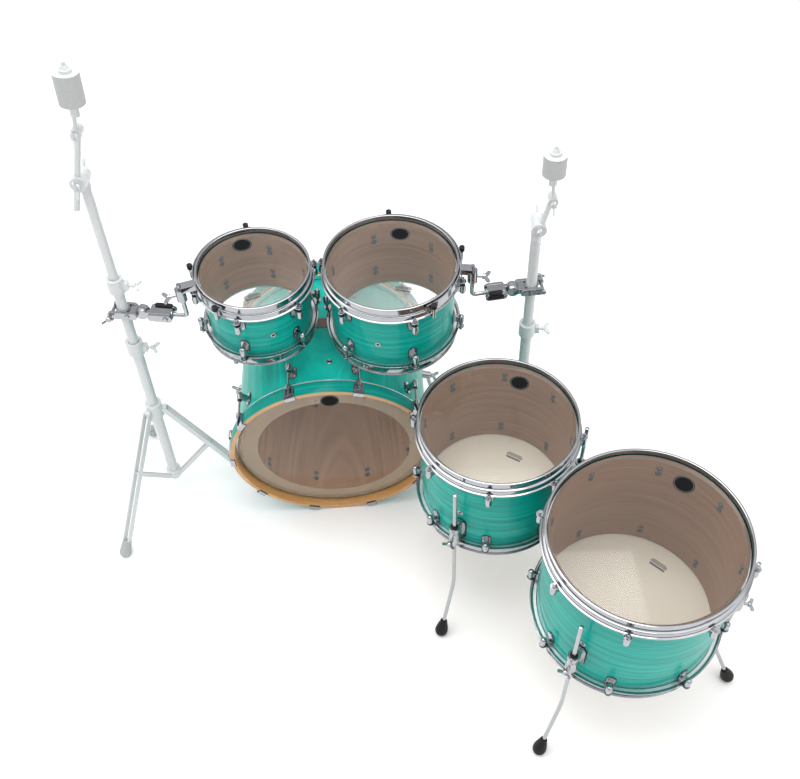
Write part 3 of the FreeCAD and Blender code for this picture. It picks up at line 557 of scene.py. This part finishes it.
def ring_slab(s, a, b, width, z0, z1, steps=48):
    """Flat oval ring."""
    outer, inner = oval(a, b, steps), oval(a - width, b - width, steps)
    verts = [(x, y, z) for z in (z0, z1) for line in (outer, inner) for x, y in line]
    n = steps
    faces = []
    for i in range(n):
        k = (i + 1) % n
        faces += [(i, k, n + k, n + i), (2 * n + i, 3 * n + i, 3 * n + k, 2 * n + k),
                  (i, 2 * n + i, 2 * n + k, k), (n + i, n + k, 3 * n + k, 3 * n + i)]
    s.emit(verts, faces)


def make_mark(name, matrix, body, angle, radius, z):
    """Plain black disc near the head's edge, with a thin pale ring inside its border."""
    s = Shape()
    s.at = spin(angle) @ shift(radius, 0, z) @ spin(90)
    s.slab(oval(*MARK_SIZE), 0, 0.0002)
    s.index = 1
    ring_slab(s, MARK_SIZE[0] - 0.0022, MARK_SIZE[1] - 0.0018, 0.0006, 0.0002, 0.0003)
    piece(name, s, (BADGE, BADGE_RIM), matrix, body)


def make_label(name, matrix, body, angle, radius, z):
    """Small grey block of plain bars printed on a lower head."""
    s = Shape()
    s.at = spin(angle) @ shift(radius, 0, z) @ spin(90)
    for y, w, h in ((0.0055, 0.020, 0.0028), (-0.0014, 0.022, 0.0011), (-0.0051, 0.022, 0.0011),
                    (-0.0088, 0.018, 0.0011)):
        s.box(-w, w, y - h, y + h, -0.00005, 0.00025)
    piece(name, s, LABEL, matrix, body)


def lug_solids(s, r, m, reach, scale=1.0):
    """Gasket, oval foot, post and drop-shaped barrel with a dark mouth; the gasket is widened past the
    foot so its black rim is partly real gasket and partly painted contact shadow.
    """
    keep = s.at
    foot = 0.038 * scale
    s.index = 1
    # Real gasket, widened so its black rim round the foot also serves as painted shadow.
    s.at = keep @ m @ upright_x(r - 0.0015, -0.002)
    s.slab(stadium_xy(foot + 0.0026, 0.0228 * scale), 0, 0.0027)
    s.index = 0
    s.slab(stadium_xy(foot, 0.020 * scale), 0, 0.0036)
    s.slab(stadium_xy(foot - 0.004, 0.016 * scale), 0.0036, 0.0050)
    s.at = keep @ m
    s.box(r + 0.003, r + reach, -0.0046 * scale, 0.0046 * scale, -0.0095 * scale, 0.0075 * scale)
    s.at = keep @ m @ shift(r + reach, 0, 0)
    s.lathe([(a * MM * scale, z * MM) for a, z in BARREL], 32)
    s.index = 1
    s.lathe([(a * MM * scale, z * MM) for a, z in MOUTH], 24)
    s.at = keep


def stadium_xy(length, width, steps=12):
    """Outline with round ends, long side along X."""
    half, r = length / 2 - width / 2, width / 2
    right = [(half + r * math.sin(a), r * -math.cos(a))
             for a in (math.pi * i / steps for i in range(steps + 1))]
    return right + [(-x, -y) for x, y in right]


def vent_solids(s, r, angle, height):
    """Rimmed air hole in a shell; a black disc fills the open hole as painted shade."""
    s.at = spin(angle) @ upright_x(r, height)
    s.index = 0
    s.lathe(scaled(VENT_RIM), 40)
    # Black disc inside the open vent: painted shade.
    s.index = 1
    s.lathe(scaled(VENT_HOLE_SHADE), 24)


def make_lugs(key, d, node):
    s = Shape()
    for flip, sign in ((Matrix(), 1), (flipped(d["depth"]), -1)):
        for a in around(d):
            s.at = flip @ spin(sign * a)
            lug_solids(s, d["r"], shift(0, 0, -d["drop"]), ROD_OFFSET)
    vent_solids(s, d["r"], *d["vent"])
    piece(key + "_lug_set", s, (CHROME, BLACK), d["m"], d["body"], node, 0.0006)


def make_inner_screws(key, matrix, body, radius, wall, depth, spots, drop):
    """Two dark domed screw heads behind every lug."""
    s = Shape()
    for flip, sign in ((Matrix(), 1), (flipped(depth), -1)):
        for a in spots:
            for dz in (-0.0085, 0.0085):
                s.at = (flip @ spin(sign * a) @ shift(radius - wall + 0.0002, 0, -drop + dz)
                        @ Matrix.Rotation(-math.pi / 2, 4, "Y"))
                s.lathe(scaled(SCREW_HEAD), 20)
    piece(key + "_inner_screws", s, SCREW, matrix, body)


# Angle and radius of the labels and marks on the heads.
LABELS = {"tom10": (112.0, 0.088), "tom12": (77.8, 0.120), "floor14": (57.8, 0.113),
          "floor16": (47.0, 0.146)}
MARKS = {"tom10": (112.1, 0.0918), "tom12": (78.2, 0.1053), "floor14": (62.8, 0.1285),
         "floor16": (51.0, 0.1562)}
TOM_LUGS = {"tom10": "tom10_fittings", "tom12": "tom12_fittings"}

for key, d in DRUMS.items():
    d["m"] = axes(plan(*d["top"]), d["axis"])
    dress_shell(key + "_shell", d["m"], d["r"])
    make_hoops(key, d)
    lower = flipped(d["depth"])
    small = key in TOM_LUGS
    top = make_head(key + "_playing_head", d, Matrix(), CLEAR)
    bottom = make_head(key + "_resonant_head", d, lower, HAZY if small else COATED)
    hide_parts(key + ("_heads" if small else "_batter_head"))
    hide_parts(key + ("_heads" if small else "_bottom_head"))
    make_mark(key + "_head_mark", d["m"], d["body"], *MARKS[key], -0.0126)
    make_label(key + "_lower_label", d["m"], d["body"], *LABELS[key], -d["depth"] + 0.0132)
    make_lugs(key, d, TOM_LUGS.get(key, ("floor_tom_lugs", "shell_vents")))
    make_inner_screws(key, d["m"], d["body"], d["r"], d["wall"], d["depth"], around(d), d["drop"])
for group in ("tom10", "tom12", "floor_tom", "bass"):
    dress(group + "_tension_rods", CHROME, bevel=0.0006)

for key in TOM_LUGS:
    d = DRUMS[key]
    dress(key + "_mount", CHROME, BLACK, bevel=0.0006)
    paint(key + "_mount", d["m"].inverted(), (
        (1, lambda c, n: c.z > -0.0035 and d["r"] + 0.0146 < math.hypot(c.x, c.y) < d["r"] + 0.030),
        (1, lambda c, n: abs(c.z + 0.0065) < 0.0058 and abs(n.z) < 0.3
         and math.hypot(c.x, c.y) > d["r"] + 0.0149)))

# ---------------------------------------------------------------- bass drum pieces

bass_axis = Vector((math.sin(BASS_YAW) * math.cos(BASS_TILT),
                    -math.cos(BASS_YAW) * math.cos(BASS_TILT), -math.sin(BASS_TILT)))
BASS = axes(plan(*BASS_CENTRE, BASS_OUT * math.cos(BASS_TILT)), bass_axis)
BASS_FLIP = shift(0, 0, -BASS_LENGTH) @ Matrix.Rotation(math.pi, 4, "Y")


def make_bass_hoop(side, flip):
    """Wood hoop, lacquered outside and bare maple on its edges and inside; the outside lacquer is a
    darker copy of the shell's teal, as painted shade.
    """
    s = Shape()
    s.at = flip
    b, w = 0.0018, -BASS_HOOP_WIDTH
    s.lathe([(BASS_OUT - b, 0), (BASS_OUT - b * 0.3, -b * 0.3), (BASS_OUT, -b), (BASS_OUT, w + b),
             (BASS_OUT - b, w), (BASS_IN + b, w), (BASS_IN, w + b), (BASS_IN, -b),
             (BASS_IN + b * 0.3, -b * 0.3), (BASS_IN + b, 0)], 200)
    for f in s.bm.faces:
        c = flip.inverted() @ f.calc_center_median()
        f.material_index = 0 if math.hypot(c.x, c.y) > BASS_OUT - b * 0.45 else 1
    piece("bass_%s_hoop" % side, s, (TEAL_HOOP_PAINTED_SHADE, MAPLE), BASS, "kit", "bass_hoops")


def make_bass_head(side, flip, film):
    """Head with its crimp ring and a flat damping ring near the edge."""
    s = Shape()
    s.at = flip
    r, ring = BASS_R, BASS_IN + 0.007
    s.lathe([(0, -0.022), (r + 0.0008, -0.022), (r + 0.0016, -0.0226), (r + 0.0016, -0.040),
             (r + 0.0012, -0.040), (r + 0.0012, -0.0230), (r + 0.0006, -0.0224), (0, -0.0224)], 200)
    s.index = 1
    s.lathe([(r + 0.0018, -0.0382), (ring - 0.0008, -0.0382), (ring, -0.039), (ring, -0.0442),
             (ring - 0.0008, -0.045), (r + 0.0018, -0.045)], 200)
    s.index = 2
    s.lathe([(0.203, -0.0219), (0.2505, -0.0219), (0.2505, -0.02165), (0.203, -0.02165)], 200)
    piece("bass_%s_head_assembly" % side, s, (film, STEEL, RING), BASS, "kit",
          "bass_%s_head" % side)


def claw_solids(s, base):
    """Hook over the hoop, shield plate on its outside, ribs, rod eye and rubber liner."""
    face, nose = BASS_OUT + 0.0002, BASS_OUT + 0.0034
    s.index = 0
    s.at = base
    s.box(BASS_IN + 0.0030, nose, -0.0135, 0.0135, 0.0002, 0.0036)
    s.box(face, nose, -0.0135, 0.0135, -0.008, 0.0036)
    s.at = base @ upright_x(face, -0.020)
    s.slab([(-0.014, -0.0130), (0.004, -0.0122), (0.012, -0.0096), (0.017, -0.0062),
            (0.017, 0.0062), (0.012, 0.0096), (0.004, 0.0122), (-0.014, 0.0130)], 0, 0.0013)
    s.at = base
    s.box(face, BASS_ROD_CIRCLE, -0.0064, 0.0064, -0.036, -0.0262)
    for y in (-0.0098, 0.0098):
        s.box(BASS_OUT + 0.0010, BASS_OUT + 0.0062, y - 0.0014, y + 0.0014, -0.028, -0.006)
    s.at = base @ shift(BASS_ROD_CIRCLE, 0, 0)
    s.lathe([(0.0031, -0.036), (0.0064, -0.036), (0.0064, -0.0262), (0.0031, -0.0262)], 28)
    s.index = 1
    s.at = base
    s.box(BASS_IN + 0.0018, BASS_IN + 0.0031, -0.0142, 0.0142, 0.0001, 0.0034)


dress_shell("bass_shell", BASS, BASS_R, BASS_INSIDE)
for side, flip, film_used, slot in (("batter", Matrix(), CLEAR, "clear_head"),
                                    ("front", BASS_FLIP, COATED, "coated_head")):
    make_bass_hoop(side, flip)
    make_bass_head(side, flip, film_used)
claws, lugs = Shape(), Shape()
for flip in (Matrix(), BASS_FLIP):
    for angle in BASS_ANGLES:
        claw_solids(claws, flip @ spin(angle))
        lugs.at = flip @ spin(angle)
        lug_solids(lugs, BASS_R, shift(0, 0, -BASS_LUG_DROP), BASS_ROD_CIRCLE - BASS_R, 0.95)
vent_solids(lugs, BASS_R, *BASS_VENT)
piece("bass_claw_set", claws, (CHROME, BLACK), BASS, "kit", "bass_claws", 0.0009)
piece("bass_lug_set", lugs, (CHROME, BLACK), BASS, "kit", ("bass_lugs", "shell_vents"),
      0.0006)
make_inner_screws("bass", BASS, "kit", BASS_R, BASS_WALL, BASS_LENGTH, BASS_ANGLES, BASS_LUG_DROP)
make_mark("bass_head_mark", BASS, "kit", 87.6, 0.2105, -0.0216)
dress("bass_badge", BROWN, bevel=0.0005)
dress("bass_spur_brackets", CHROME, bevel=0.0008)

# ---------------------------------------------------------------- floor tom legs

def round_corner(before, corner, after, steps):
    """Points of a smooth curve that leaves one leg of a corner and joins the other."""
    return [(1 - u) ** 2 * before + 2 * u * (1 - u) * corner + u * u * after
            for u in (i / steps for i in range(steps + 1))]


def wing_nut(s, stem, span, radius):
    """Bolt along +X with a hub and two cupped wings."""
    s.rod((0, 0, 0), (stem, 0, 0), radius, seg=20)
    hub = [(0, 0), (radius + 0.0026, 0), (radius + 0.003, 0.001), (radius + 0.0026, 0.007),
           (radius + 0.001, 0.009), (0, 0.0095)]
    s.turned((stem - 0.001, 0, 0), (1, 0, 0), hub, 28)
    wing = [(0.0015, -0.0030), (span * 0.30, -0.0042), (span * 0.46, -0.0036), (span * 0.50, 0.0),
            (span * 0.46, 0.0036), (span * 0.30, 0.0042), (0.0015, 0.0030)]
    keep = s.at
    for sign in (1, -1):
        s.at = keep @ shift(stem + 0.004, 0, 0) @ Matrix.Rotation(sign * (math.pi / 2 - 0.35), 4, "Z")
        s.slab(wing, -0.0016, 0.0016)
    s.at = keep


def make_leg(leg, m, r):
    """Bent rod standing beside the shell, with a rubber foot flattened by the floor."""
    x = r + LEG_OFFSET
    bend = Vector((x, 0, LEG_BEND_HEIGHT))
    foot = Vector((r + LEG_FOOT[0], 0, LEG_FOOT[1]))
    down = (foot - bend).normalized()
    curve = round_corner(bend + Vector((0, 0, LEG_BEND)), bend, bend + down * LEG_BEND, 12)
    s = Shape()
    s.sweep([(x, 0, LEG_TOP), *curve, foot - down * 0.012], LEG_RADIUS, 24)
    tip = [(0, 0), (LEG_RADIUS, 0), (0.0044, 0.001), (0.0033, 0.0015), (0, 0.0015)]
    s.turned((x, 0, LEG_TOP - 0.0007), (0, 0, 1), tip, 24)
    s.index = 1
    s.turned(foot + down * 0.001, -down, [
        (0, -0.0155), (0.006, -0.0150), (0.0115, -0.0118), (0.0150, -0.0065), (0.0164, 0.0),
        (0.0160, 0.0060), (0.0146, 0.0130), (0.0120, 0.0220), (0.0096, 0.0300), (0.0086, 0.0345),
        (0.0070, 0.0356), (0, 0.0356)], 40)
    for v in s.bm.verts:
        v.co.z = max(v.co.z, 0.0)
    piece(leg + "_rod", s, (CHROME, BLACK), m, leg, leg)


def bracket_solids(s, m, r):
    """Gasket, foot plate, web and clamp barrel that holds a leg."""
    x = r + LEG_OFFSET
    s.index = 1
    s.at = m @ upright_x(r - 0.0015, BRACKET_PLATE_Z)
    s.slab(stadium_xy(0.077, 0.031), 0, 0.0028)
    s.index = 0
    s.slab(stadium_xy(0.074, 0.028), 0.0010, 0.0052)
    s.at = m
    s.box(r + 0.003, x - 0.009, -0.0095, 0.0095, BRACKET_Z - 0.026, BRACKET_Z + 0.026)
    s.at = m @ shift(x, 0, BRACKET_Z)
    s.lathe([(0.0049, -0.030), (0.0118, -0.030), (0.0130, -0.0288), (0.0130, -0.0160),
             (0.0122, -0.0150), (0.0122, 0.0150), (0.0130, 0.0160), (0.0130, 0.0288),
             (0.0118, 0.030), (0.0049, 0.030)], 40)
    s.index = 1
    s.lathe([(0.0049, 0.030), (0.0090, 0.030), (0.0086, 0.0325), (0.0049, 0.0325)], 32)


brackets, bolts = Shape(), Shape()
for key, angles in LEG_ANGLES.items():
    d = DRUMS[key]
    for name, angle in zip(("front", "right", "rear"), angles):
        m = shift(*plan(d["top"][0], d["top"][1])) @ spin(angle)
        make_leg("%s_leg_%s" % (key, name), m, d["r"])
        bracket_solids(brackets, m, d["r"])
        bolts.at = m @ shift(d["r"] + LEG_OFFSET + 0.006, 0, LEG_BOLT_Z)
        wing_nut(bolts, 0.016, 0.034, 0.0039)
piece("floor_leg_bracket_set", brackets, (CHROME, BLACK), Matrix(), "kit",
      "floor_tom_leg_brackets", 0.0008)
piece("floor_leg_bolt_set", bolts, CHROME, Matrix(), "kit", "floor_tom_wing_bolts",
      0.0006)

# ---------------------------------------------------------------- stands and holders

def stand_axes(st):
    lean = [math.tan(math.radians(v)) for v in st["lean"]]
    return axes(plan(*st["base"]), (lean[0], lean[1], 1))


def make_clamp(side, clamp):
    """Collar, two side rails, ratchet cheek, cross bolt and wing nut on the stand tube."""
    s = Shape()
    inner, outer = STAND_TUBE + 0.0001, STAND_TUBE + 0.0044
    s.lathe([(inner, -0.0105), (outer, -0.0105), (outer, 0.0105), (inner, 0.0105)], 48)
    for y0, y1, x0, x1 in ((-0.0225, -0.0135, -0.034, 0.0385), (0.0135, 0.0215, -0.030, 0.0300)):
        s.at = shift(0, y0, 0) @ Matrix.Rotation(-math.pi / 2, 4, "X") @ shift((x0 + x1) / 2, 0, 0)
        s.slab(stadium_xy(x1 - x0, 0.019), 0, y1 - y0)
    s.at = Matrix()
    s.box(0.0165, 0.034, -0.0140, 0.0140, -0.0070, 0.0070)
    s.box(0.030, RATCHET, 0.0008, 0.0130, -0.0085, 0.0085)
    s.turned((RATCHET, 0.0006, 0), (0, 1, 0),
             [(0, 0), (0.0150, 0), (0.0150, 0.0105), (0.0138, 0.0124), (0, 0.0124)], 48)
    s.rod((-0.026, -0.030, 0), (-0.026, 0.0250, 0), 0.0040)
    s.turned((-0.026, 0.0210, 0), (0, 1, 0),
             [(0, 0), (0.0070, 0), (0.0070, 0.0040), (0.0060, 0.0050), (0, 0.0050)], 6)
    s.at = (shift(-0.026, -0.0225, 0) @ Matrix.Rotation(-math.pi / 2, 4, "Z")
            @ Matrix.Rotation(0.5, 4, "X"))
    wing_nut(s, 0.010, 0.040, 0.0042)
    s.at = Matrix()
    s.turned((0.014, -0.0222, 0), (0, -1, 0),
             [(0, 0), (0.0062, 0), (0.0062, 0.0030), (0.0050, 0.0042), (0, 0.0042)], 32)
    name = "holder_%s_clamp" % side
    piece(name + "_block", s, (CHROME, BLACK), clamp, name, name, 0.0009)


def make_jaw(side, jaw, end):
    """Ratchet disc, knuckle, two rails and body round the rod, with black inserts."""
    s = Shape()
    s.turned((0, 0, -0.0126), (0, 0, 1),
             [(0, 0), (0.0140, 0), (0.0150, 0.0012), (0.0150, 0.0122), (0, 0.0122)], 48)
    s.box(0.010, 0.026, -0.0085, 0.0085, -0.0125, -0.0006)
    s.at = shift((0.019 + end) / 2, 0, -0.0215)
    s.slab(stadium_xy(end - 0.015, 0.019), 0, 0.0085)
    s.at = shift((0.019 + end) / 2, 0, 0.0130)
    s.slab(stadium_xy(end - 0.011, 0.020), 0, 0.0085)
    s.at = Matrix()
    s.box(0.019, end - 0.004, -0.0095, 0.0095, -0.0130, 0.0130)
    s.index = 1
    s.at = shift((0.022 + end) / 2, -0.0068, 0.0172) @ Matrix.Rotation(math.pi / 2, 4, "X")
    s.slab(stadium_xy(end - 0.030, 0.0125), 0.0015, 0.0062)
    s.at = shift((0.022 + end) / 2, 0, 0.0120)
    s.slab(stadium_xy(end - 0.026, 0.0120), -0.0030, 0.0112)
    s.index = 0
    s.at = Matrix()
    s.turned((end - 0.014, 0, -0.0212), (0, 0, -1),
             [(0, 0), (0.0064, 0), (0.0064, 0.0030), (0.0052, 0.0044), (0, 0.0044)], 32)
    s.turned((end - 0.0045, 0, 0), (1, 0, 0),
             [(0.0054, 0), (0.0094, 0), (0.0094, 0.0030), (0.0084, 0.0042), (0.0054, 0.0042)], 36)
    name = "holder_%s_jaw" % side
    piece(name + "_block", s, (CHROME, BLACK), jaw, name, name, 0.0009)


def make_holder_rod(side, start, bend):
    """Bent rod from inside the jaw to the rack tom's mount."""
    into, up = (bend - start).normalized(), Vector((0, 0, 1))
    turn = HOLDER_ROD_TURN
    curve = round_corner(bend - into * turn, bend, bend + up * turn, 10)
    s = Shape()
    s.sweep([start, *curve, Vector((bend.x, bend.y, HOLDER_ROD_TOP))], HOLDER_ROD_R, 28)
    name = "holder_%s_rod" % side
    piece("holder_%s_l_rod" % side, s, CHROME, Matrix(), name, name)


for name in sorted(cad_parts):
    if name == "stand_tripod_feet":
        dress(name, PALE_RUBBER, bevel=0.001)
    elif name.startswith("stand_"):
        dress(name, PALE, PALE_SLEEVE, bevel=0.0007)
    elif name in ("bass_spur_left", "bass_spur_right") or name.startswith("holder_"):
        dress(name, CHROME, bevel=0.0007)

for side, st in STANDS.items():
    tube = stand_axes(st)
    low, high = [Vector((x, -CYMBAL_ROD_SIDE, z)) for x, z in st["sleeve"]]
    sleeve = tube @ axes(low, high - low)
    paint("stand_%s_tilter" % side, sleeve.inverted(), (
        (1, lambda c, n: 0.0235 < math.hypot(c.x, c.y) < 0.0258 and -0.001 < c.z < 0.09),))

    origin, bend = tube @ Vector((0, 0, st["clamp"])), plan(*st["rod"])
    clamp = axes(origin, tube.to_3x3() @ Vector((0, 0, 1)), bend - origin)
    reach = clamp.inverted() @ bend - Vector((RATCHET, 0, 0))
    jaw = clamp @ axes((RATCHET, 0, 0), (0, 1, 0), reach.normalized())
    make_clamp(side, clamp)
    make_jaw(side, jaw, reach.length - 0.034)
    make_holder_rod(side, jaw @ Vector((reach.length - 0.062, 0, 0)), bend)

# ---------------------------------------------------------------- floor, lights, camera

bm = bmesh.new()
bmesh.ops.create_grid(bm, x_segments=1, y_segments=1, size=30)
mesh = bpy.data.meshes.new("studio_floor")
bm.to_mesh(mesh)
bm.free()
floor_mat = Nodes("studio_floor")
whites = [(0.4, (0.955, 0.955, 0.955)), (0.6, (0.965, 0.965, 0.965))]
floor_mat.colour(floor_mat.ramp(floor_mat.noise(3.0), whites))
floor_mat.set(Roughness=0.9, Specular_IOR_Level=0.1)
mesh.materials.append(floor_mat.mat)
floor = bpy.data.objects.new("studio_floor", mesh)
bpy.context.scene.collection.objects.link(floor)

world = bpy.data.worlds.new("studio")
bpy.context.scene.world = world
world.use_nodes = True
wt = world.node_tree
sky = wt.nodes.new("ShaderNodeTexCoord")
sep = wt.nodes.new("ShaderNodeSeparateXYZ")
ramp = wt.nodes.new("ShaderNodeValToRGB")
stops = ((0.0, 0.22), (0.10, 0.25), (0.22, 0.70), (0.45, 0.90), (0.68, 0.62), (0.93, 1.5))
while len(ramp.color_ramp.elements) < len(stops):
    ramp.color_ramp.elements.new(0.5)
for element, (position, level) in zip(ramp.color_ramp.elements, stops):
    element.position, element.color = position, (level, level, level, 1)
wt.links.new(sky.outputs["Generated"], sep.inputs[0])
wt.links.new(sep.outputs["Z"], ramp.inputs["Fac"])
wt.links.new(ramp.outputs["Color"], wt.nodes["Background"].inputs["Color"])
wt.nodes["Background"].inputs["Strength"].default_value = 0.95
bpy.context.scene.view_settings.view_transform = "Standard"


def area_light(name, location, target, size, power):
    data = bpy.data.lights.new(name, "AREA")
    data.shape, data.size, data.size_y, data.energy = "RECTANGLE", size[0], size[1], power
    obj = bpy.data.objects.new(name, data)
    bpy.context.scene.collection.objects.link(obj)
    obj.location = location
    obj.rotation_mode = "QUATERNION"
    obj.rotation_quaternion = (Vector(target) - Vector(location)).to_track_quat("-Z", "Y")


area_light("key", (-2.6, 0.6, 3.6), (0, 0, 0.4), (3.6, 3.6), 52)
area_light("fill", (2.6, -1.8, 2.8), (0, 0, 0.4), (4.0, 4.0), 30)
area_light("overhead", (0.0, 0.1, 3.7), (0, 0, 0), (2.2, 2.2), 50)

pitch, roll, height = math.radians(50.61), -0.02803, 2.1632
camera_data = bpy.data.cameras.new("camera")
camera_data.lens, camera_data.sensor_width = 39.78, 36.0
camera_data.shift_x, camera_data.shift_y = -0.0309, 0.0316
camera = bpy.data.objects.new("camera", camera_data)
bpy.context.scene.collection.objects.link(camera)
forward = Vector((0, math.cos(pitch), -math.sin(pitch)))
level, rise = Vector((1, 0, 0)), Vector((0, math.sin(pitch), math.cos(pitch)))
right = level * math.cos(roll) + rise * math.sin(roll)
up = rise * math.cos(roll) - level * math.sin(roll)
place = Matrix((right, up, -forward)).transposed().to_4x4()
place.translation = plan(0, 0, height)
camera.matrix_world = place
bpy.context.scene.camera = camera
